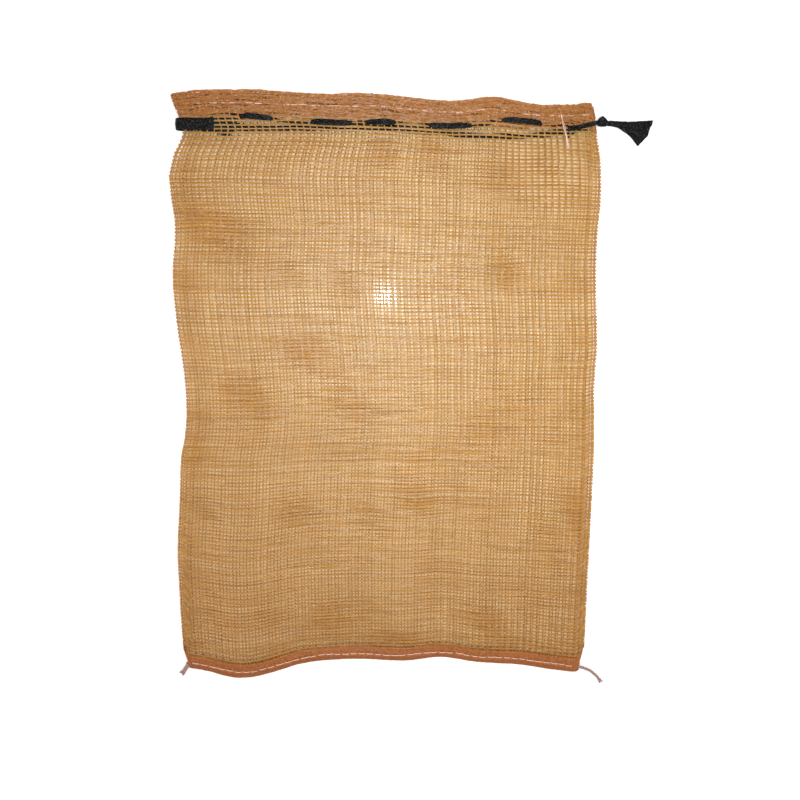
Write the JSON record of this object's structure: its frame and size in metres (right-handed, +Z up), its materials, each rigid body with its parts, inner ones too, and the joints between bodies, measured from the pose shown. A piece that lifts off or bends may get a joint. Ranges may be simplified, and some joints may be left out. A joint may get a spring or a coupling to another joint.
{
  "type": "mesh sack",
  "caption": "Flat-lying leno net sack with a folded mouth hem, a stitched bottom hem and a knotted film drawstring.",
  "frame": {"origin": "on the surface that the sack lies on, under the middle of the whole object", "axes": "+X across the sack to the right, towards the knot; +Y along the sack towards its mouth; +Z up from the surface"},
  "size_m": [0.4782, 0.6042, 0.0116],
  "materials": {
    "net": "open leno net of ochre polyolefin tape, satin",
    "hem": "two to four layers of the same net, stitched",
    "film": "black gathered film tape, glossy on its creases",
    "yarn": "pale pink chain stitch yarn, matt"
  },
  "bodies": {
    "root": {"net_body": "net", "mouth_hem": "hem", "bottom_hem": "hem", "drawstring_tape": "film", "drawstring_knot": "film", "drawstring_tail": "film", "stitch_end_left": "yarn", "stitch_end_right": "yarn"}
  },
  "joints": []
}
